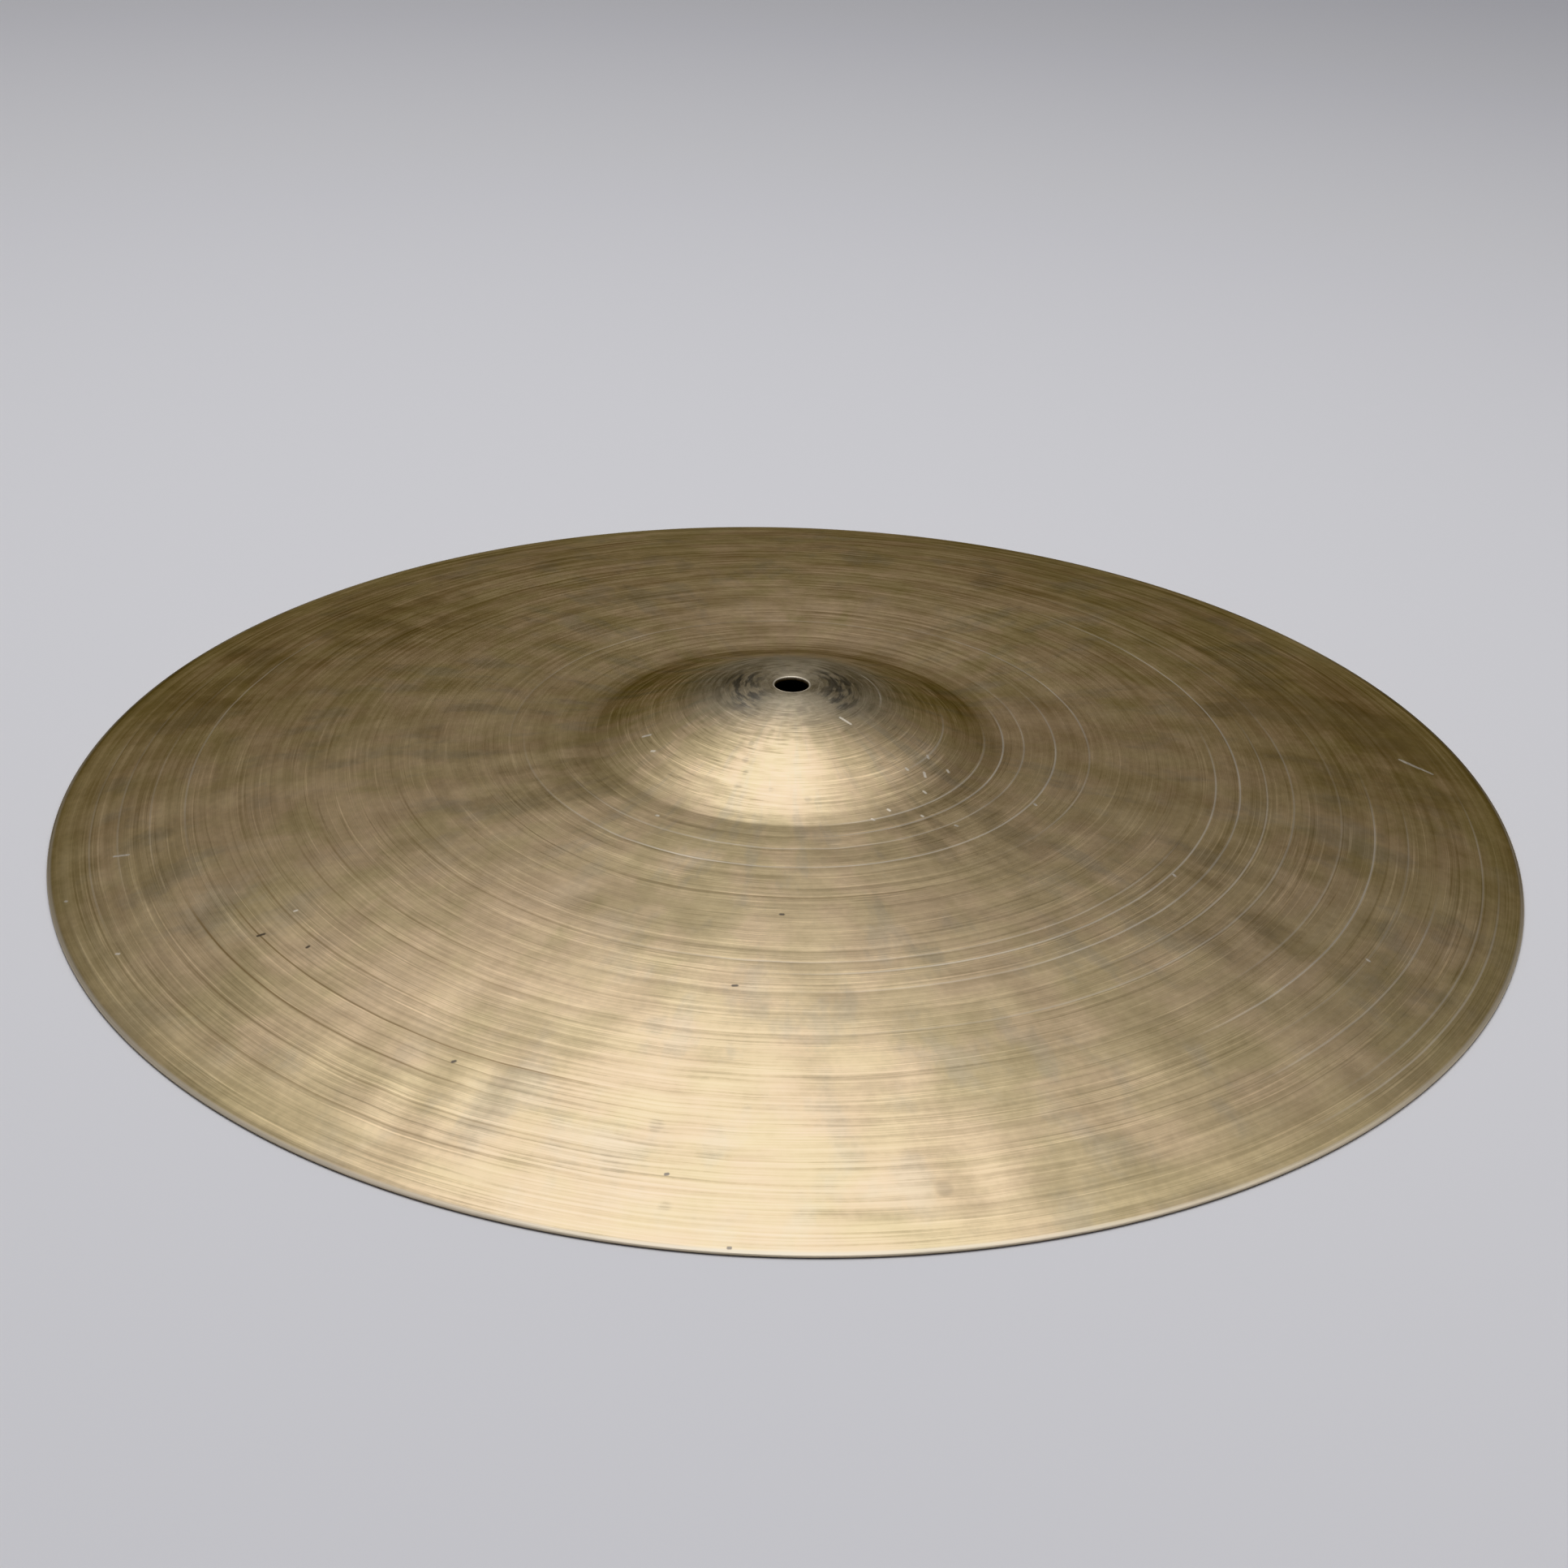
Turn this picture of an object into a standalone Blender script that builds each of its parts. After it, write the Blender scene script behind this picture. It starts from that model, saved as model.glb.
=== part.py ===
"""Crash cymbal: one hammered and lathed bronze disc with a raised bell and a mounting hole.

Metres, +Z up. The cymbal stands on its rim, dome up. The origin is on its axis, level with the rim's underside.
"""

from math import pi, radians, sqrt

import bmesh
import bpy
import numpy as np

# Driving dimensions, all in metres.
DIAMETER = 0.508
HOLE_DIAMETER = 0.012
SEAT_DIAMETER = 0.021
BELL_DIAMETER = 0.132
BOW_HEIGHT = 0.0265
BELL_HEIGHT = 0.0185
SEAT_THICKNESS = 0.0014
BOW_THICKNESS = 0.0011
EDGE_THICKNESS = 0.0009
RIM_FACE_HEIGHT = 0.0007
RIM_LAND_WIDTH = 0.0008

# Shape of the curves: a higher bow exponent keeps the middle flatter and drops the rim faster,
# and a bell exponent above 1 flares the foot of the bell smoothly into the bow.
BOW_EXPONENT = 2.8
BELL_EXPONENT = 1.35

# Resolution of the turned solid.
TURN_STEPS = 96
BELL_POINTS = 12
BOW_POINTS = 14

RADIUS = DIAMETER / 2
HOLE_RADIUS = HOLE_DIAMETER / 2
SEAT_RADIUS = SEAT_DIAMETER / 2
BELL_RADIUS = BELL_DIAMETER / 2
LAND_RADIUS = RADIUS - RIM_LAND_WIDTH

BRONZE_COLOUR = (0.62, 0.49, 0.31, 1.0)
BRONZE_ROUGHNESS = 0.34
SHARP_ANGLE = radians(30)


def clear_scene():
    """Removes every object that the file starts with."""
    for obj in list(bpy.data.objects):
        bpy.data.objects.remove(obj, do_unlink=True)


def bow_height(radius):
    """Height of the bow's outer surface above the rim's top edge."""
    return BOW_HEIGHT * (1 - (radius / RADIUS) ** BOW_EXPONENT)


def bell_height(radius):
    """Height that the bell adds to the bow, zero from the bell's foot outwards."""
    reach = min(radius / BELL_RADIUS, 1.0)
    return BELL_HEIGHT * (1 - reach**2) ** BELL_EXPONENT


def outer_height(radius):
    """Height of the outer surface. Inside the seat's radius it is flat, for the felt washer."""
    radius = max(radius, SEAT_RADIUS)
    return RIM_FACE_HEIGHT + bow_height(radius) + bell_height(radius)


def outer_slope(radius):
    """Fall of the outer surface for each metre outwards, from a central difference."""
    step = 1e-5
    return (outer_height(radius - step) - outer_height(radius + step)) / (2 * step)


def sheet_thickness(radius):
    """Thickness square to the sheet: thickest at the seat, tapering to the bell's foot and then to the rim."""
    if radius < BELL_RADIUS:
        reach = max(radius - SEAT_RADIUS, 0.0) / (BELL_RADIUS - SEAT_RADIUS)
        return SEAT_THICKNESS + (BOW_THICKNESS - SEAT_THICKNESS) * reach
    reach = (radius - BELL_RADIUS) / (RADIUS - BELL_RADIUS)
    return BOW_THICKNESS + (EDGE_THICKNESS - BOW_THICKNESS) * reach


def inner_height(radius):
    """Height of the underside: the sheet's thickness below the outer surface, and never below the rim's land."""
    if radius <= SEAT_RADIUS:
        return outer_height(radius) - SEAT_THICKNESS
    drop = sheet_thickness(radius) * sqrt(1 + outer_slope(radius) ** 2)
    return max(outer_height(radius) - drop, 0.0)


def profile_radii():
    """Radii of the profile's points, from the hole to the rim's land."""
    bell = np.linspace(SEAT_RADIUS, BELL_RADIUS, BELL_POINTS)
    bow = np.linspace(BELL_RADIUS, LAND_RADIUS, BOW_POINTS)
    return [HOLE_RADIUS, *bell, *bow[1:]]


def cymbal_profile():
    """Closed outline of the sheet in the XZ plane: down the outer side, across the rim, and back up inside."""
    radii = profile_radii()
    outer = [(radius, outer_height(radius)) for radius in [*radii, RADIUS]]
    rim = [(RADIUS, 0.0)]
    inner = [(radius, inner_height(radius)) for radius in radii[:-1]]
    land = [(LAND_RADIUS, 0.0)]
    return outer + rim + land + inner[::-1]


def profile_mesh(name, outline):
    """A mesh of one closed loop of edges in the XZ plane."""
    mesh = bpy.data.meshes.new(name)
    shape = bmesh.new()
    points = [shape.verts.new((radius, 0.0, height)) for radius, height in outline]
    for start, end in zip(points, points[1:] + points[:1]):
        shape.edges.new((start, end))
    shape.to_mesh(mesh)
    shape.free()
    return mesh


def bronze_material():
    """Cast, hammered and lathed bell bronze."""
    material = bpy.data.materials.new("bronze")
    material.use_nodes = True
    surface = material.node_tree.nodes["Principled BSDF"]
    surface.inputs["Base Color"].default_value = BRONZE_COLOUR
    surface.inputs["Metallic"].default_value = 1.0
    surface.inputs["Roughness"].default_value = BRONZE_ROUGHNESS
    material.diffuse_color = BRONZE_COLOUR
    return material


def turn_profile(obj):
    """Turns the object's profile once round Z, and keeps the result as its mesh."""
    screw = obj.modifiers.new("turn", "SCREW")
    screw.axis = "Z"
    screw.angle = 2 * pi
    screw.steps = TURN_STEPS
    screw.render_steps = TURN_STEPS
    screw.use_merge_vertices = True
    screw.merge_threshold = 1e-6
    bpy.context.view_layer.objects.active = obj
    bpy.ops.object.modifier_apply(modifier=screw.name)


def build_cymbal(collection):
    """The cymbal, the object's one piece."""
    cymbal = bpy.data.objects.new("cymbal", profile_mesh("cymbal", cymbal_profile()))
    collection.objects.link(cymbal)
    turn_profile(cymbal)
    cymbal.data.materials.append(bronze_material())
    cymbal.data.shade_smooth()
    cymbal.data.set_sharp_from_angle(angle=SHARP_ANGLE)
    return cymbal


def main():
    clear_scene()
    collection = bpy.data.collections.new("crash_cymbal")
    bpy.context.scene.collection.children.link(collection)
    build_cymbal(collection)


main()
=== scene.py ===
"""Crash cymbal: the looks of one aged, hammered and lathed bronze cymbal, lying on its rim, dome up."""

import math

import bpy
import numpy as np
from mathutils import Matrix, Vector


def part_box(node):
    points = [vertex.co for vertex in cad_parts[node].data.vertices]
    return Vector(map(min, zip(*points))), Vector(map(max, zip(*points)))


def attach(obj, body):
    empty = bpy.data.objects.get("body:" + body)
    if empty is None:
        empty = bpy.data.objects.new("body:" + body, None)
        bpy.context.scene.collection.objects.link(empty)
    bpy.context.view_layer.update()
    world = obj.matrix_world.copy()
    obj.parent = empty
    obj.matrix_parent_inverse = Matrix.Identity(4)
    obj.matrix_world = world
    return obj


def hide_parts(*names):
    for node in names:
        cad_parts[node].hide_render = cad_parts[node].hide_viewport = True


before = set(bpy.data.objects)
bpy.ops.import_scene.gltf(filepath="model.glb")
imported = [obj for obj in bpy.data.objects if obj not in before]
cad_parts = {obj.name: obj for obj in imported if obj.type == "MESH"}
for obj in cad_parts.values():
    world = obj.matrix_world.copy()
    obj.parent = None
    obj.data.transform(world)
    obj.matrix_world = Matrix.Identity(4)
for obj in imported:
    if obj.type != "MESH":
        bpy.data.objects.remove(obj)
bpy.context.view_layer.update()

# ---------------------------------------------------------------- the cymbal's shape, in metres

CYMBAL_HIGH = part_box("cymbal")[1]
RADIUS = CYMBAL_HIGH[0]
TOTAL_HEIGHT = CYMBAL_HIGH[2]
HOLE_RADIUS = 0.006
SEAT_RADIUS = 0.0105
BELL_RADIUS = 0.070
BELL_HEIGHT = 0.0185
BOW_EXPONENT = 2.8
BELL_EXPONENT = 1.55
SEAT_THICKNESS = 0.0014
BOW_THICKNESS = 0.0011
EDGE_THICKNESS = 0.0009
RIM_FACE_HEIGHT = 0.0007
RIM_LAND_WIDTH = 0.0008
CORNER = 0.00015

# The mesh is a grid of rings and spokes.
SPOKES = 400
TOP_STEP = 0.0026
UNDER_STEP = 0.0052

# Turned rings that are deep enough to see, as shares of the radius from the axis to the rim.
CROWN_RINGS = (0.1225, 0.210)
BELL_RINGS = (0.142, 0.162, 0.187, 0.225, 0.247)
BOW_RINGS = (0.268, 0.294, 0.3225, 0.366, 0.385, 0.4125, 0.433, 0.541, 0.563, 0.585, 0.618, 0.655, 0.691)
RIM_RINGS = (0.755, 0.800, 0.820, 0.845, 0.866, 0.887, 0.908, 0.926, 0.945, 0.966, 0.984)
ALL_RINGS = CROWN_RINGS + BELL_RINGS + BOW_RINGS + RIM_RINGS
RING_WIDTH = 0.0011
RING_DEPTH = 0.00005

# Hammer marks sit in rows round the axis.
HAMMER_SEED = 20
HAMMER_ROW_STEP = 0.0155
HAMMER_SPACING = 0.019
HAMMER_RADIUS = 0.0085
HAMMER_DEPTH = 0.00022
HAMMER_FROM_BELL = 0.012
HAMMER_FROM_RIM = 0.004

# The dents fade out this near the rim and the hole, and are shallower underneath.
DENT_MARGIN = 0.005
TOP_DENTS = 1.0
UNDER_DENTS = 0.6

# The mesh's attribute that is 1 on the top and 0 underneath.
TOP_SIDE = "top_side"

# Broad shallow hollows, and a few deeper marks drawn out towards the rim, each a place and a size
# (x, y, half length, half width, depth).
HOLLOW_COUNT = 46
HOLLOW_RADIUS = 0.026
HOLLOW_DEPTH = 0.00032
DEEP_MARKS = (
    (-0.128, -0.181, 0.013, 0.006, 0.00022),
    (-0.104, -0.197, 0.012, 0.006, 0.00022),
    (-0.084, -0.198, 0.014, 0.005, 0.00026),
    (-0.107, -0.213, 0.010, 0.006, 0.00020),
    (-0.092, -0.158, 0.012, 0.007, 0.00018),
    (-0.034, -0.211, 0.012, 0.006, 0.00040),
    (-0.046, -0.224, 0.009, 0.006, 0.00030),
    (-0.012, -0.221, 0.011, 0.007, 0.00036),
    (0.054, -0.226, 0.011, 0.007, 0.00030),
)


def bow_height(radius):
    """Height of the bow above the rim's top edge, at each radius of an array."""
    height = TOTAL_HEIGHT - RIM_FACE_HEIGHT - bell_height(SEAT_RADIUS)
    height = height / (1 - (SEAT_RADIUS / RADIUS) ** BOW_EXPONENT)
    return height * (1 - (radius / RADIUS) ** BOW_EXPONENT)


def bell_height(radius):
    """Height that the bell adds to the bow."""
    reach = np.minimum(radius / BELL_RADIUS, 1.0)
    return BELL_HEIGHT * (1 - reach**2) ** BELL_EXPONENT


def top_height(radius):
    """Height of the smooth top surface, flat on the seat round the hole."""
    radius = np.maximum(radius, SEAT_RADIUS)
    return RIM_FACE_HEIGHT + bow_height(radius) + bell_height(radius)


def thickness(radius):
    """Thickness of the sheet measured straight down."""
    step = 1e-5
    slope = (top_height(radius - step) - top_height(radius + step)) / (2 * step)
    sheet = np.interp(
        radius,
        [SEAT_RADIUS, BELL_RADIUS, RADIUS],
        [SEAT_THICKNESS, BOW_THICKNESS, EDGE_THICKNESS],
    )
    return sheet * np.sqrt(1 + slope**2)


def under_height(radius):
    """Height of the underside, which stops at the level that the rim rests on."""
    return max(top_height(radius) - thickness(radius), 0.0)


def ring_dip(radius):
    """Depth that the turned rings cut below the smooth surface."""
    dip = 0.0
    for share in ALL_RINGS:
        reach = abs(radius - share * RADIUS) / (RING_WIDTH / 2)
        dip += RING_DEPTH * max(1 - reach, 0.0)
    return dip


def hammer_marks():
    """Centre, size and depth of each hammer mark, in rows round the axis with some scatter."""
    chance = np.random.RandomState(HAMMER_SEED)
    marks = []
    for row in np.arange(BELL_RADIUS + HAMMER_FROM_BELL, RADIUS - HAMMER_FROM_RIM, HAMMER_ROW_STEP):
        count = int(2 * math.pi * row / HAMMER_SPACING)
        offset = chance.uniform(0, 2 * math.pi)
        for index in range(count):
            angle = offset + (index + chance.uniform(-0.25, 0.25)) * 2 * math.pi / count
            radius = row + chance.uniform(-0.3, 0.3) * HAMMER_ROW_STEP
            size = HAMMER_RADIUS * chance.uniform(0.75, 1.35)
            depth = HAMMER_DEPTH * chance.uniform(0.2, 1.5)
            marks.append((radius * math.cos(angle), radius * math.sin(angle), size, depth))
    for _ in range(HOLLOW_COUNT):
        angle = chance.uniform(0, 2 * math.pi)
        radius = math.sqrt(chance.uniform(0.12, 0.88)) * RADIUS
        size = HOLLOW_RADIUS * chance.uniform(0.7, 1.3)
        depth = HOLLOW_DEPTH * chance.uniform(0.3, 1.0)
        marks.append((radius * math.cos(angle), radius * math.sin(angle), size, depth))
    return marks


def hammer_dip(x, y):
    """Depth of the hammer marks at each point, each a shallow round dent with a soft edge."""
    dip = np.zeros_like(x)
    for mark_x, mark_y, size, depth in hammer_marks():
        apart = ((x - mark_x) ** 2 + (y - mark_y) ** 2) / size**2
        near = apart < 6
        dip[near] += depth * np.exp(-apart[near])
    for mark_x, mark_y, length, width, depth in DEEP_MARKS:
        reach = math.hypot(mark_x, mark_y)
        outward = ((x - mark_x) * mark_x + (y - mark_y) * mark_y) / reach
        sideways = ((x - mark_x) * mark_y - (y - mark_y) * mark_x) / reach
        dip += depth * np.exp(-((outward / length) ** 2) - (sideways / width) ** 2)
    radius = np.hypot(x, y)
    from_rim = np.clip((RADIUS - radius) / DENT_MARGIN, 0, 1)
    from_hole = np.clip((radius - HOLE_RADIUS) / DENT_MARGIN, 0, 1)
    return dip * from_rim * from_hole


def ring_radii(start, end, step, rings):
    """Radii of the mesh's rings: evenly spaced, with extra ones at each turned ring."""
    plain = np.linspace(start, end, int(round((end - start) / step)) + 1)
    extra = [share * RADIUS + side * RING_WIDTH / 2 for share in rings for side in (-1, 0, 1)]
    away = [r for r in plain[1:-1] if min(abs(r - e) for e in extra + [0.0]) > RING_WIDTH / 3]
    return np.array(sorted([plain[0], plain[-1], *away, *extra]))


def rounded_rim():
    """The rim's edge, rounded over from the top face to the foot."""
    half = RIM_FACE_HEIGHT / 2
    rows = []
    for degrees in (60, 30, 0, -30, -60):
        angle = math.radians(degrees)
        rows.append((RADIUS - half * (1 - math.cos(angle)), half + half * math.sin(angle), 0.0))
    return [*rows, (RADIUS - half, 0.0, 0.0)]


def rounded_hole():
    """The hole's wall, with both its corners rounded, from the underside to the top."""
    seat_top = top_height(HOLE_RADIUS)
    seat_under = seat_top - SEAT_THICKNESS
    return [
        (HOLE_RADIUS + 0.6 * CORNER, seat_under + 0.3 * CORNER, 0.0),
        (HOLE_RADIUS, seat_under + 1.3 * CORNER, 0.0),
        (HOLE_RADIUS, seat_top - 1.3 * CORNER, 0.0),
        (HOLE_RADIUS + 0.6 * CORNER, seat_top - 0.3 * CORNER, 0.0),
    ]


def cymbal_rings():
    """The closed outline of the sheet as rows of radius, height and how far the dents count there."""
    inside = HOLE_RADIUS + 2 * CORNER
    top = ring_radii(inside, RADIUS - 2 * CORNER, TOP_STEP, ALL_RINGS)
    land, *under = ring_radii(inside, RADIUS - RIM_LAND_WIDTH, UNDER_STEP, ())[::-1]
    rows = [(radius, top_height(radius) - ring_dip(radius), TOP_DENTS) for radius in top]
    rows += rounded_rim()
    rows.append((land, under_height(land), 0.0))
    rows += [(radius, under_height(radius), UNDER_DENTS) for radius in under]
    rows += rounded_hole()
    return np.array(rows, dtype=float)


def grid_mesh(name, points):
    """A mesh whose quads join each ring of points to the next, and the last ring to the first."""
    rings, spokes, _ = points.shape
    ring = np.arange(rings)[:, None]
    spoke = np.arange(spokes)[None, :]
    here = ring * spokes + spoke
    beside = ring * spokes + (spoke + 1) % spokes
    further = (ring + 1) % rings * spokes + spoke
    across = (ring + 1) % rings * spokes + (spoke + 1) % spokes
    faces = np.stack([here, further, across, beside], axis=-1).reshape(-1, 4)
    mesh = bpy.data.meshes.new(name)
    mesh.from_pydata(points.reshape(-1, 3).tolist(), [], faces.tolist())
    mesh.shade_smooth()
    mesh.update()
    return mesh


def cymbal_mesh():
    """The sheet, turned round the axis, with hammer marks in both faces. It records which face is on top."""
    rows = cymbal_rings()
    angles = np.arange(SPOKES) * 2 * math.pi / SPOKES
    x = rows[:, :1] * np.cos(angles)
    y = rows[:, :1] * np.sin(angles)
    z = rows[:, 1:2] - rows[:, 2:] * hammer_dip(x, y)
    mesh = grid_mesh("cymbal_bronze", np.stack([x, y, z], axis=-1))
    on_top = np.repeat(rows[:, 2] == TOP_DENTS, SPOKES).astype(np.float32)
    mesh.attributes.new(TOP_SIDE, "FLOAT", "POINT").data.foreach_set("value", on_top)
    return mesh


# ---------------------------------------------------------------- the material


class Graph:
    """The nodes of one material. Its methods return outputs, so that a material reads as a formula."""

    def __init__(self, name):
        self.material = bpy.data.materials.new(name)
        self.material.use_nodes = True
        self.tree = self.material.node_tree
        self.surface = self.tree.nodes["Principled BSDF"]

    def wire(self, socket, value):
        if isinstance(value, bpy.types.NodeSocket):
            self.tree.links.new(value, socket)
        else:
            socket.default_value = value

    def node(self, kind, **settings):
        made = self.tree.nodes.new(kind)
        for key, value in settings.items():
            setattr(made, key, value)
        return made

    def math(self, operation, a, b=0.0):
        made = self.node("ShaderNodeMath", operation=operation)
        self.wire(made.inputs[0], a)
        self.wire(made.inputs[1], b)
        return made.outputs[0]

    def plus(self, a, b):
        return self.math("ADD", a, b)

    def minus(self, a, b):
        return self.math("SUBTRACT", a, b)

    def times(self, a, b):
        return self.math("MULTIPLY", a, b)

    def squares(self, a, b):
        """The sum of the squares of a and b."""
        return self.plus(self.times(a, a), self.times(b, b))

    def vector(self, x, y, z):
        made = self.node("ShaderNodeCombineXYZ")
        for socket, value in zip(made.inputs, (x, y, z)):
            self.wire(socket, value)
        return made.outputs[0]

    def noise(self, vector, scale=1.0, detail=2.0, roughness=0.5):
        made = self.node("ShaderNodeTexNoise")
        self.wire(made.inputs["Vector"], vector)
        made.inputs["Scale"].default_value = scale
        made.inputs["Detail"].default_value = detail
        made.inputs["Roughness"].default_value = roughness
        return made.outputs["Fac"]

    def span(self, value, low, high, to_low=0.0, to_high=1.0):
        """Maps low..high smoothly to to_low..to_high, and holds the ends outside it."""
        made = self.node("ShaderNodeMapRange", interpolation_type="SMOOTHSTEP")
        for socket, given in zip(made.inputs, (value, low, high, to_low, to_high)):
            self.wire(socket, given)
        return made.outputs[0]

    def mix(self, share, a, b, blend_type="MIX"):
        made = self.node("ShaderNodeMix", data_type="RGBA", blend_type=blend_type)
        self.wire(made.inputs["Factor"], share)
        for name, value in (("A", a), ("B", b)):
            socket = [s for s in made.inputs if s.name == name and s.type == "RGBA"][0]
            self.wire(socket, value)
        return [s for s in made.outputs if s.type == "RGBA"][0]

    def most(self, masks):
        """The largest of several masks."""
        found = 0.0
        for mask in masks:
            found = self.math("MAXIMUM", found, mask)
        return found

    def near(self, value, level, width):
        """1 where value is at level, fading to 0 at width from it."""
        apart = self.math("ABSOLUTE", self.minus(value, level))
        return self.span(apart, 0.15 * width, width, 1.0, 0.0)

    def tint(self, shade, mask, amount):
        """shade, brighter by amount where mask is 1."""
        return self.times(shade, self.plus(self.times(mask, amount), 1.0))


# Linear colours of the metal, its patina and its marks.
TAN = (0.68, 0.532, 0.318, 1.0)
PINK = (0.695, 0.525, 0.33, 1.0)
OLIVE = (0.585, 0.466, 0.27, 1.0)
EDGE_OLIVE = (0.60, 0.482, 0.27, 1.0)
GREY = (0.46, 0.40, 0.295, 1.0)
BROWN = (0.47, 0.365, 0.22, 1.0)
CROWN_GREY = (0.40, 0.355, 0.265, 1.0)
CROWN_TAN = (0.42, 0.33, 0.21, 1.0)
SLATE = (0.20, 0.19, 0.165, 1.0)
SOOT = (0.20, 0.17, 0.13, 1.0)
# Dark brown of the rings: partly dirt, partly painted shade.
DIRT_AND_SHADE = (0.30, 0.215, 0.12, 1.0)
# Pale bare metal for scratches and nicks. It is also painted highlight on the rings and at the edges.
BRIGHT = (0.95, 0.84, 0.65, 1.0)

# Parts of the turned rings that show as a line, the bright ones partly worn residue and partly painted
# highlight, the dark ones partly dirt and partly painted shade (share of the radius, direction in degrees,
# half spread in degrees, strength).
WORN_AND_HIGHLIT_ARCS = (
    (0.1225, 20, 34, 0.40),
    (0.210, 345, 30, 0.40),
    (0.268, 325, 48, 0.60),
    (0.294, 330, 55, 0.75),
    (0.3225, 300, 110, 0.45),
    (0.366, 290, 115, 0.70),
    (0.385, 120, 75, 0.35),
    (0.4125, 10, 65, 0.60),
    (0.563, 290, 50, 0.50),
    (0.585, 320, 55, 0.65),
    (0.618, 345, 80, 0.80),
    (0.655, 340, 38, 0.60),
    (0.691, 350, 80, 0.50),
    (0.755, 345, 32, 0.40),
    (0.800, 335, 30, 0.70),
    (0.820, 175, 30, 0.45),
    (0.845, 335, 24, 0.35),
    (0.866, 180, 24, 0.25),
    (0.887, 325, 18, 0.45),
    (0.908, 181, 24, 0.28),
    (0.945, 338, 28, 0.45),
    (0.945, 190, 20, 0.25),
    (0.966, 330, 24, 0.45),
)
DIRTY_AND_SHADED_ARCS = (
    (0.433, 268, 32, 0.45),
    (0.541, 218, 24, 0.35),
    (0.563, 230, 26, 0.35),
    (0.655, 226, 26, 0.50),
    (0.691, 226, 28, 0.60),
    (0.755, 228, 26, 0.65),
    (0.800, 233, 28, 0.75),
    (0.845, 228, 24, 0.85),
    (0.887, 236, 26, 0.55),
    (0.926, 238, 28, 0.55),
    (0.966, 245, 28, 0.40),
)

# Half widths of the lines and the marks.
ARC_WIDTH = 0.0005
SCRATCH_WIDTH = 0.0011
NICK_WIDTH = 0.0007
SPECK_WIDTH = 0.0008

# Zones that run all the way round, each from one radius to another.
# The hole's lip band is partly worn metal and partly painted highlight.
HOLE_LIP = (HOLE_RADIUS + 0.0003, HOLE_RADIUS + 0.0009)
CROWN = (0.029, 0.053)
BELL_LINES = (0.060, 0.075)
RIM = (0.915 * RADIUS, 0.98 * RADIUS)
# The rim's edge band is partly worn metal and partly painted highlight.
WORN_AND_HIGHLIT_EDGE = (RADIUS - 0.0018, RADIUS - 0.0008)
CUT_EDGE = (RADIUS - 0.0004, RADIUS - 0.0001)

# Rings that are soft on both sides, each a radius and a half width.
SMEAR_RING = (0.0175, 0.010)
# Painted shade round the foot of the bell, which dims its highlight there.
BELL_FOOT_SHADE = (0.066, 0.014)

# The crown's patina sits this far behind the axis, and its edge is this ragged.
CROWN_BACK = 0.005
CROWN_RAGGED = 0.008

# Large soft patches of patina, each a place and a radius (x, y, radius).
PINK_PATCHES = (
    (0.010, 0.091, 0.060),
    (-0.103, -0.132, 0.070),
    (-0.150, -0.060, 0.040),
    (0.090, 0.010, 0.035),
)
BROWN_PATCHES = (
    (0.211, 0.045, 0.070),
    (-0.216, 0.058, 0.060),
    (-0.152, 0.105, 0.050),
    (0.057, -0.068, 0.035),
    (0.150, -0.095, 0.045),
    (-0.080, -0.040, 0.035),
)

# Marks on the top, each from one end to the other (x, y, x, y), in metres.
SCRATCHES = (
    (0.2239, 0.0285, 0.2336, 0.0235),
    (0.2230, 0.0291, 0.2262, 0.0276),
    (0.2245, 0.0278, 0.2290, 0.0254),
)
NICKS = (
    (0.0394, -0.0352, 0.0399, -0.0356),
    (0.0452, -0.0440, 0.0458, -0.0446),
    (0.0330, -0.0563, 0.0335, -0.0566),
    (0.0441, -0.0578, 0.0445, -0.0584),
    (0.0550, -0.0628, 0.0556, -0.0631),
    (0.0277, -0.0620, 0.0283, -0.0623),
    (-0.0469, -0.0272, -0.0460, -0.0276),
    (-0.0430, -0.0626, -0.0425, -0.0629),
    (-0.0505, -0.0172, -0.0480, -0.0176),
    (0.0169, -0.0188, 0.0204, -0.0210),
    (0.0470, -0.0250, 0.0472, -0.0262),
    (0.0456, -0.0345, 0.0459, -0.0365),
    (0.0537, -0.0294, 0.0541, -0.0303),
    (0.1246, -0.0822, 0.1250, -0.0830),
    (0.0824, -0.0454, 0.0828, -0.0462),
    (0.1824, -0.1128, 0.1830, -0.1134),
    (-0.2325, -0.0890, -0.2320, -0.0893),
    (-0.2070, -0.1228, -0.2062, -0.1230),
    (-0.1530, -0.1121, -0.1524, -0.1119),
    (-0.2220, -0.0670, -0.2170, -0.0675),
)
SPECKS = (
    (-0.1624, -0.1230, -0.1606, -0.1224),
    (-0.1456, -0.1311, -0.1452, -0.1307),
    (-0.0938, -0.1856, -0.0932, -0.1854),
    (-0.0148, -0.1546, -0.0137, -0.1545),
    (-0.0014, -0.1193, -0.0006, -0.1193),
    (-0.0125, -0.2520, -0.0119, -0.2520),
    (-0.0304, -0.2284, -0.0298, -0.2283),
)

# Soft dark stains on the bell and the bow, each a place and a radius (x, y, radius).
STAINS = (
    (-0.0147, -0.0403, 0.0016),
    (-0.0146, -0.0456, 0.0014),
    (-0.0167, -0.0505, 0.0020),
    (-0.0130, -0.0334, 0.0014),
    (0.0064, -0.0562, 0.0018),
    (-0.0058, -0.0529, 0.0013),
    (0.0038, -0.0180, 0.0028),
    (-0.0340, -0.2110, 0.0030),
    (-0.0300, -0.2390, 0.0026),
    (0.0450, -0.2300, 0.0034),
)


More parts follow.
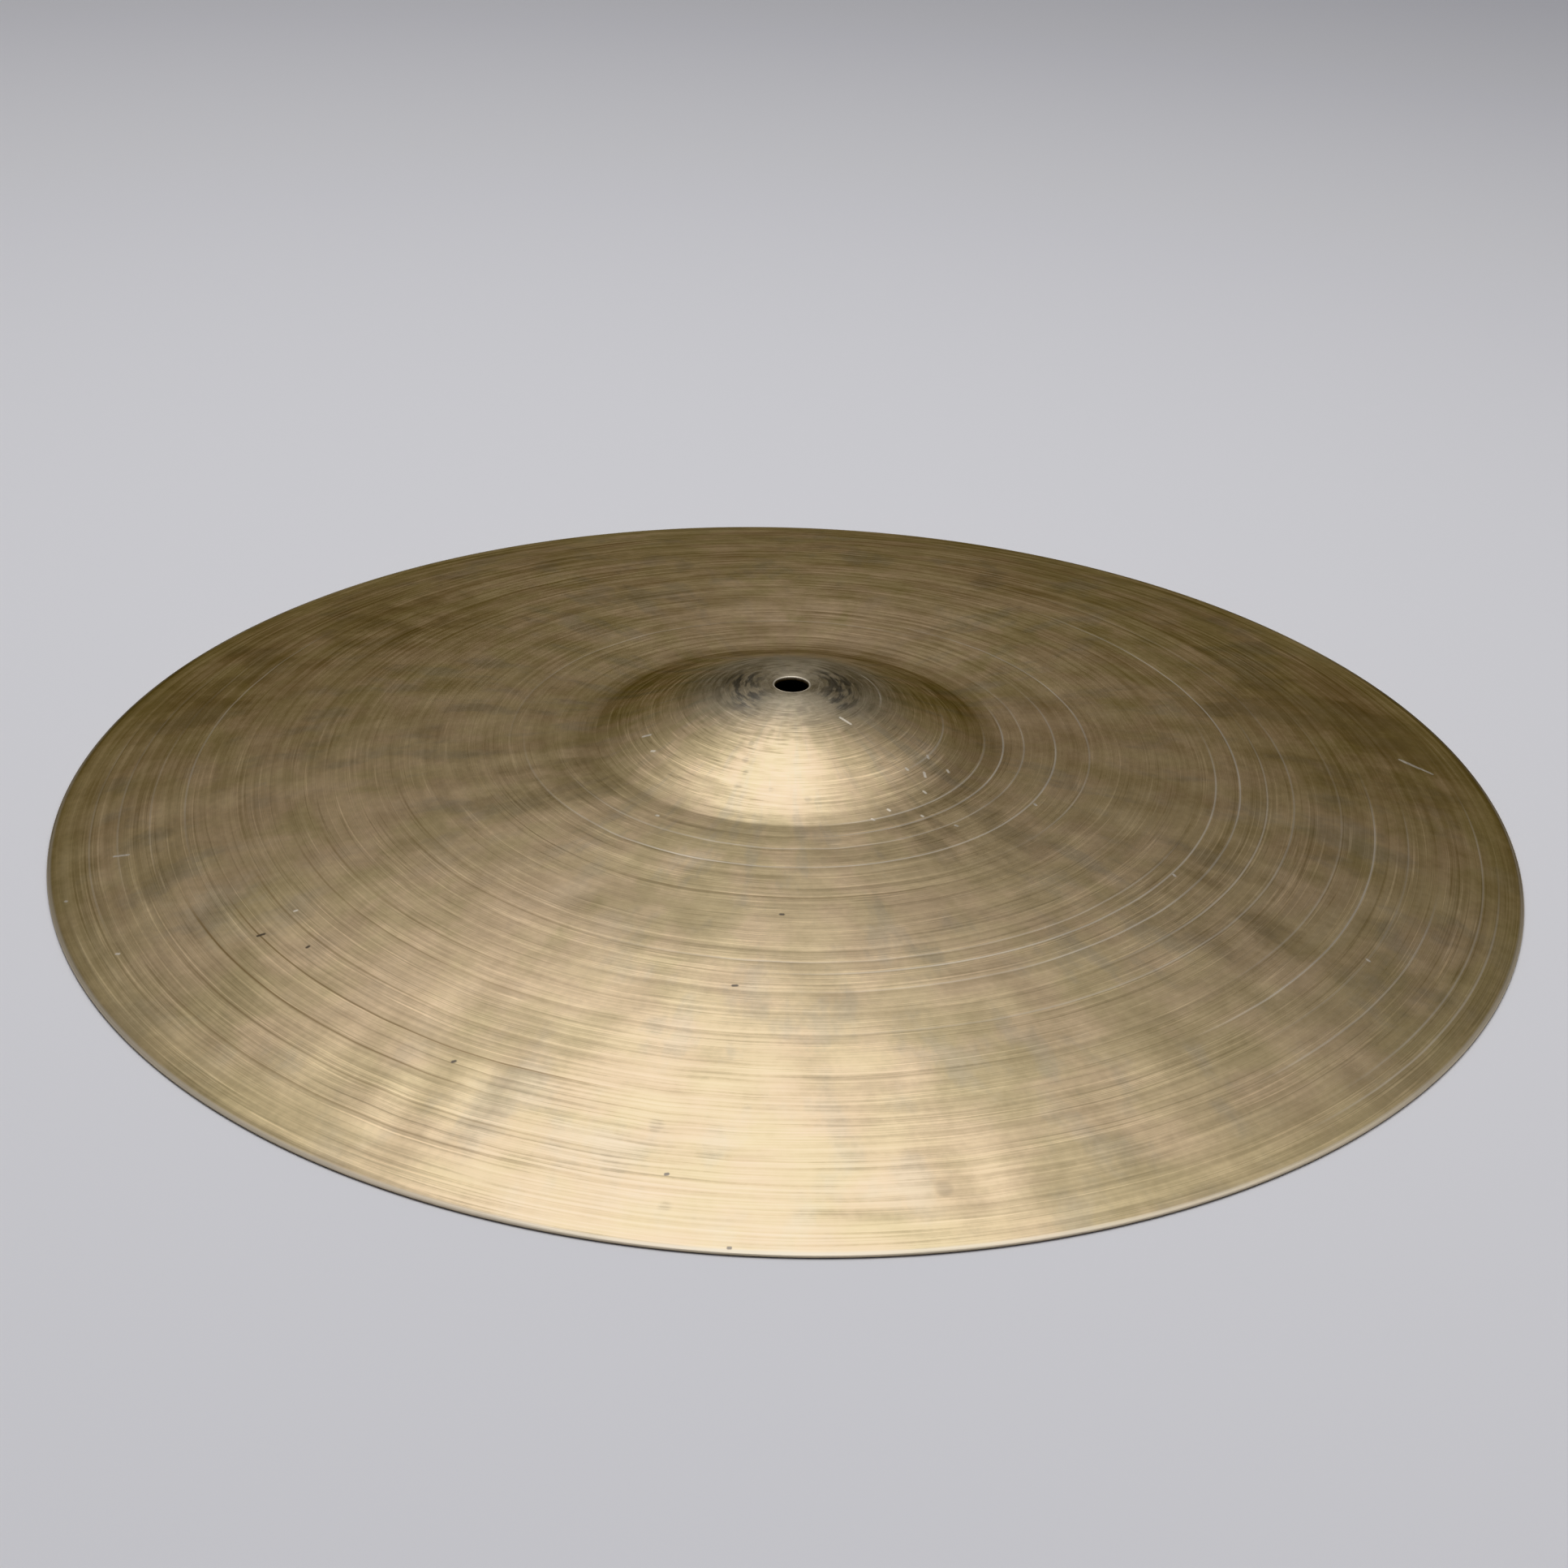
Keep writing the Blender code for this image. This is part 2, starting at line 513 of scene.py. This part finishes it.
class Disc:
    """The coordinates, noises and zones that the cymbal's patterns share, all of them round its axis."""

    def __init__(self, g):
        self.g = g
        self.place = g.node("ShaderNodeTexCoord").outputs["Object"]
        self.on_top = g.node("ShaderNodeAttribute", attribute_name=TOP_SIDE).outputs["Fac"]
        parts = g.node("ShaderNodeSeparateXYZ")
        g.wire(parts.inputs[0], self.place)
        self.x, self.y = parts.outputs["X"], parts.outputs["Y"]
        self.radius = g.math("SQRT", g.squares(self.x, self.y))
        self.east = g.math("DIVIDE", self.x, self.radius)
        self.north = g.math("DIVIDE", self.y, self.radius)

        self.fine = self.noise(0.0008, 4.0, detail=1.0)
        self.medium = self.noise(0.0020, 2.0)
        self.broad = self.noise(0.0050, 1.0)
        self.thread = self.noise(0.0015, 0.6, detail=1.0)
        self.patch = self.noise(0.016, 8.0)
        self.smudge = self.noise(0.030, 10.0, detail=4.0, roughness=0.6)
        self.smear = self.noise(0.0024, 2.2, detail=3.0)
        self.arc_fade = self.noise(0.0090, 1.3)
        self.blotch = g.noise(self.place, scale=20.0, detail=3.0)
        self.cloud = g.noise(self.place, scale=75.0, detail=3.0, roughness=0.6)
        self.grain = g.noise(self.place, scale=420.0)

        self.rim = g.span(self.radius, *RIM)
        self.crown = self.ragged_crown()

    def noise(self, step, turns, detail=2.0, roughness=0.5):
        """Noise that varies every step metres outwards, and turns times as much round the axis."""
        g = self.g
        across = g.math("DIVIDE", self.radius, step)
        vector = g.vector(across, g.times(self.east, turns), g.times(self.north, turns))
        return g.noise(vector, detail=detail, roughness=roughness)

    def ragged_crown(self):
        """How much of the crown's patina a place has."""
        g = self.g
        from_middle = g.math("SQRT", g.squares(self.x, g.minus(self.y, CROWN_BACK)))
        ragged = g.plus(from_middle, g.times(self.patch, CROWN_RAGGED))
        return g.span(ragged, *CROWN, 0.75, 0.0)

    def toward(self, degrees, spread):
        """1 in a direction from the axis, fading to 0 at spread degrees from it."""
        g = self.g
        angle, half = math.radians(degrees), math.radians(spread)
        facing = g.times(self.east, math.cos(angle))
        facing = g.plus(facing, g.times(self.north, math.sin(angle)))
        return g.span(facing, math.cos(half), math.cos(half / 2))

    def arc(self, share, degrees, spread, strength):
        """strength on part of a turned ring, fading to 0 at its sides and its ends."""
        line = self.g.near(self.radius, share * RADIUS, ARC_WIDTH)
        return self.g.times(line, self.g.times(self.toward(degrees, spread), strength))

    def mark(self, start_x, start_y, end_x, end_y, width):
        """1 on a short straight mark between two places, fading to 0 at its sides."""
        g = self.g
        length = math.hypot(end_x - start_x, end_y - start_y)
        along_x, along_y = (end_x - start_x) / length, (end_y - start_y) / length
        from_x = g.minus(self.x, start_x)
        from_y = g.minus(self.y, start_y)
        along = g.plus(g.times(from_x, along_x), g.times(from_y, along_y))
        beside = g.minus(g.times(from_x, along_y), g.times(from_y, along_x))
        past = g.math("ABSOLUTE", g.minus(along, length / 2))
        past = g.math("MAXIMUM", g.minus(past, length / 2), 0.0)
        return g.span(g.math("SQRT", g.squares(past, beside)), 0.3 * width, width, 1.0, 0.0)

    def stain(self, x, y, size):
        """1 at a place, fading softly to 0 at size metres from it."""
        g = self.g
        squares = g.squares(g.minus(self.x, x), g.minus(self.y, y))
        return g.span(squares, 0.0, size**2, 1.0, 0.0)


def patina(disc):
    """The metal's own colour, with the patina's mottle and patches over it, and the rim's olive tarnish, kept
    thin at the front as a painted highlight.
    """
    g = disc.g
    colour = g.mix(g.span(disc.blotch, 0.40, 0.60), OLIVE, TAN)
    colour = g.mix(g.span(disc.patch, 0.40, 0.65, 0.0, 0.7), colour, PINK)
    colour = g.mix(g.span(disc.smudge, 0.50, 0.66, 0.0, 0.35), colour, GREY)
    pink = g.most(disc.stain(*place) for place in PINK_PATCHES)
    pink = g.times(pink, g.span(disc.smudge, 0.35, 0.55))
    colour = g.mix(g.times(pink, 0.8), colour, PINK)
    brown = g.most(disc.stain(*place) for place in BROWN_PATCHES)
    brown = g.times(brown, g.span(disc.smudge, 0.40, 0.60))
    colour = g.mix(g.times(brown, 0.6), colour, BROWN)
    # The rim's olive tarnish thins at the front, where the highlight falls: a painted highlight.
    olive_rim_thinned_by_highlight = g.times(disc.rim, g.span(disc.y, -0.235, -0.195, 0.1, 0.6))
    return g.mix(olive_rim_thinned_by_highlight, colour, EDGE_OLIVE)


def crowned(disc, colour):
    """colour under the crown's patina, tan in front and grey behind, with dark smears beside the hole."""
    g = disc.g
    crown_colour = g.mix(g.span(disc.y, -0.032, -0.008), CROWN_TAN, CROWN_GREY)
    colour = g.mix(disc.crown, colour, crown_colour)
    soot = g.times(g.span(disc.smear, 0.50, 0.60), disc.crown)
    colour = g.mix(g.times(soot, 0.3), colour, SOOT)
    sides = g.most((disc.toward(5, 60), disc.toward(185, 55)))
    beside = g.times(sides, g.near(disc.radius, *SMEAR_RING))
    smears = g.times(beside, g.span(disc.smear, 0.42, 0.56, 0.0, 0.75))
    return g.mix(g.times(smears, disc.on_top), colour, SLATE)


def turned(disc, colour):
    """colour with the turned lines, whose painted highlights and shade are strongest at the front, where the
    light falls, and on the bell; a painted shade round the bell's foot; and a fine mottle.
    """
    g = disc.g
    # Painted highlight and shade along the lines, strongest at the front where the light falls, and more on
    # the bell.
    lit_front = g.span(disc.y, -0.08, 0.05, 1.0, 0.3)
    lit_bell_front = g.times(lit_front, g.span(disc.radius, *BELL_LINES, 1.7, 1.0))
    swell = g.span(disc.broad, 0.40, 0.60, -1.0, 1.0)
    shade = g.span(disc.fine, 0.34, 0.66, 0.92, 1.06)
    shade = g.tint(shade, g.times(g.near(disc.thread, 0.46, 0.018), lit_bell_front), -0.17)
    shade = g.tint(shade, g.times(g.near(disc.thread, 0.54, 0.018), lit_bell_front), 0.26)
    shade = g.tint(shade, g.times(g.span(disc.medium, 0.34, 0.44, 1.0, 0.0), lit_front), -0.05)
    # Painted shade round the foot of the bell.
    shade = g.tint(shade, g.near(disc.radius, *BELL_FOOT_SHADE), -0.18)
    shade = g.tint(shade, swell, 0.02)
    shade = g.tint(shade, g.times(swell, disc.rim), 0.06)
    shade = g.tint(shade, g.span(disc.cloud, 0.38, 0.62, -1.0, 1.0), 0.045)
    shade = g.tint(shade, g.span(disc.grain, 0.2, 0.8, -1.0, 1.0), 0.05)
    return g.mix(1.0, colour, g.vector(shade, shade, shade), "MULTIPLY")


def ringed(disc, colour):
    """colour with the top's rings over part of the way round, some pale with wear and painted highlight, some
    dark with dirt and painted shade.
    """
    g = disc.g
    # Pale arcs are partly painted highlight and dark arcs are partly painted shade, on the sides of the rings
    # that face towards or away from the light.
    arc_strength = g.times(g.span(disc.arc_fade, 0.35, 0.55, 0.45, 1.0), disc.on_top)
    bright = g.times(g.most(disc.arc(*arc) for arc in WORN_AND_HIGHLIT_ARCS), arc_strength)
    dark = g.times(g.most(disc.arc(*arc) for arc in DIRTY_AND_SHADED_ARCS), arc_strength)
    return g.mix(dark, g.mix(bright, colour, BRIGHT), DIRT_AND_SHADE)


def marked(disc, colour):
    """colour with the top's nicks, scratches, specks and stains, and bright edges at the rim and the hole,
    partly worn metal and partly painted highlight.
    """
    g = disc.g
    scratches = g.most(disc.mark(*ends, SCRATCH_WIDTH) for ends in SCRATCHES)
    nicks = g.most(disc.mark(*ends, NICK_WIDTH) for ends in NICKS)
    specks = g.most(disc.mark(*ends, SPECK_WIDTH) for ends in SPECKS)
    stains = g.times(g.most(disc.stain(*place) for place in STAINS), 0.35)
    # Bright rim edge and hole lip: partly worn metal, partly painted highlight.
    edge = g.span(disc.radius, *WORN_AND_HIGHLIT_EDGE, 0.0, 0.6)
    lip = g.span(disc.radius, *HOLE_LIP, 0.7, 0.0)
    scraped = g.times(g.most((scratches, nicks)), disc.on_top)
    spotted = g.times(g.most((specks, stains)), disc.on_top)
    return g.mix(spotted, g.mix(g.most((scraped, edge, lip)), colour, BRIGHT), SOOT)


def roughness(disc):
    """Roughness that varies with the blotches and the turned lines, and is higher on the crown."""
    g = disc.g
    rough = g.span(disc.blotch, 0.3, 0.7, 0.42, 0.38)
    rough = g.plus(rough, g.span(disc.fine, 0.35, 0.65, 0.05, -0.05))
    rough = g.plus(rough, g.span(disc.medium, 0.4, 0.6, 0.02, -0.02))
    return g.plus(rough, g.times(disc.crown, 0.10))


def tool_bump(disc):
    """The finest tool lines, which are too fine for the mesh."""
    bump = disc.g.node("ShaderNodeBump")
    bump.inputs["Strength"].default_value = 0.6
    bump.inputs["Distance"].default_value = 0.00006
    height = disc.g.plus(disc.g.times(disc.fine, 0.5), disc.medium)
    disc.g.wire(bump.inputs["Height"], height)
    return bump.outputs[0]


def bronze():
    """Aged bell bronze. The cut edge of the sheet is duller than its faces."""
    g = Graph("aged_bronze")
    disc = Disc(g)
    colour = patina(disc)
    for layer in (crowned, turned, ringed, marked):
        colour = layer(disc, colour)
    surface = g.surface.inputs
    tangent = g.node("ShaderNodeTangent", direction_type="RADIAL", axis="Z")
    g.wire(surface["Base Color"], colour)
    g.wire(surface["Metallic"], g.span(disc.radius, *CUT_EDGE, 1.0, 0.4))
    g.wire(surface["Roughness"], roughness(disc))
    g.wire(surface["Tangent"], tangent.outputs[0])
    g.wire(surface["Normal"], tool_bump(disc))
    surface["Anisotropic"].default_value = 0.4
    surface["Anisotropic Rotation"].default_value = 0.25
    surface["Specular Tint"].default_value = (0.08, 0.07, 0.06, 1.0)
    return g.material


def build_cymbal():
    """The one visible piece, which stands for the CAD solid."""
    cymbal = bpy.data.objects.new("cymbal_bronze", cymbal_mesh())
    bpy.context.scene.collection.objects.link(cymbal)
    cymbal.data.materials.append(bronze())
    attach(cymbal, "root")
    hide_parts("cymbal")


# ---------------------------------------------------------------- camera, light and floor

CAMERA_DISTANCE = 0.855
CAMERA_PITCH = math.radians(28.1)
CAMERA_ROLL = math.radians(1.78)
CAMERA_LENS = 55.3
SENSOR_WIDTH = 36.0
CAMERA_NEAR = 0.01
AIM = Vector((-0.0016, 0.0, 0.0057))
WORLD_DARK_BELOW = 0.0
WORLD_FULL_ABOVE = 0.12
WORLD_LOW = 0.0
WORLD_HIGH = 0.31
WORLD_COLOUR = (0.94, 0.975, 1.12, 1.0)
BACKDROP = 0.30
FLOOR_SIZE = 40.0
FLOOR_DROP = 0.0003
FLOOR_COLOUR = (0.84, 0.81, 0.765, 1.0)
FLOOR_ROUGHNESS = 0.9

# Each soft light's name, place, width and length, power and colour.
SOFTBOXES = (
    ("key", (-0.08, 0.12, 1.62), (0.72, 1.2), 7.8, (0.95, 1.0, 1.14)),
    ("fill", (0.15, 0.32, 1.59), (3.36, 1.58), 9.5, (1.0, 1.0, 1.0)),
)


def add_camera():
    """A camera in front and above, looking down at the middle of the cymbal, rolled a little."""
    away = Vector((0.0, -math.cos(CAMERA_PITCH), math.sin(CAMERA_PITCH)))
    camera = bpy.data.objects.new("camera", bpy.data.cameras.new("camera"))
    camera.data.lens = CAMERA_LENS
    camera.data.sensor_width = SENSOR_WIDTH
    camera.data.clip_start = CAMERA_NEAR
    bpy.context.scene.collection.objects.link(camera)
    turn = Matrix.Rotation(math.pi / 2 - CAMERA_PITCH, 4, "X") @ Matrix.Rotation(CAMERA_ROLL, 4, "Z")
    camera.matrix_world = Matrix.Translation(AIM + away * CAMERA_DISTANCE) @ turn
    bpy.context.scene.camera = camera


def add_softbox(name, place, size, power, colour):
    """A rectangular area light at place, turned towards the origin."""
    light = bpy.data.lights.new(name, "AREA")
    light.shape = "RECTANGLE"
    light.size, light.size_y = size
    light.energy = power
    light.color = colour
    lamp = bpy.data.objects.new(name, light)
    lamp.location = place
    lamp.rotation_euler = Vector(place).to_track_quat("Z", "Y").to_euler()
    bpy.context.scene.collection.objects.link(lamp)


def add_floor():
    """A plain pale floor, just under the rim, which the metal doesn't reflect."""
    mesh = bpy.data.meshes.new("floor")
    half, level = FLOOR_SIZE / 2, -FLOOR_DROP
    corners = [(-half, -half, level), (half, -half, level), (half, half, level), (-half, half, level)]
    mesh.from_pydata(corners, [], [(0, 1, 2, 3)])
    floor = bpy.data.objects.new("floor", mesh)
    bpy.context.scene.collection.objects.link(floor)
    g = Graph("floor")
    g.surface.inputs["Base Color"].default_value = FLOOR_COLOUR
    g.surface.inputs["Roughness"].default_value = FLOOR_ROUGHNESS
    floor.data.materials.append(g.material)
    floor.visible_glossy = False


def add_world():
    """A dim studio that is dark below the horizon, behind a plain pale background."""
    world = bpy.data.worlds.new("studio")
    bpy.context.scene.world = world
    world.use_nodes = True
    nodes, links = world.node_tree.nodes, world.node_tree.links
    background = nodes["Background"]
    place = nodes.new("ShaderNodeTexCoord")
    parts = nodes.new("ShaderNodeSeparateXYZ")
    lift = nodes.new("ShaderNodeMapRange")
    lift.inputs["From Min"].default_value = WORLD_DARK_BELOW
    lift.inputs["From Max"].default_value = WORLD_FULL_ABOVE
    lift.inputs["To Min"].default_value = WORLD_LOW
    lift.inputs["To Max"].default_value = WORLD_HIGH
    links.new(place.outputs["Generated"], parts.inputs[0])
    links.new(parts.outputs["Z"], lift.inputs["Value"])
    seen = nodes.new("ShaderNodeLightPath")
    choice = nodes.new("ShaderNodeMix")
    choice.inputs["B"].default_value = BACKDROP
    links.new(seen.outputs["Is Camera Ray"], choice.inputs["Factor"])
    links.new(lift.outputs[0], choice.inputs["A"])
    links.new(choice.outputs[0], background.inputs["Strength"])
    background.inputs["Color"].default_value = WORLD_COLOUR


add_camera()
add_world()
add_floor()
for softbox in SOFTBOXES:
    add_softbox(*softbox)
bpy.context.scene.view_settings.view_transform = "Khronos PBR Neutral"
build_cymbal()
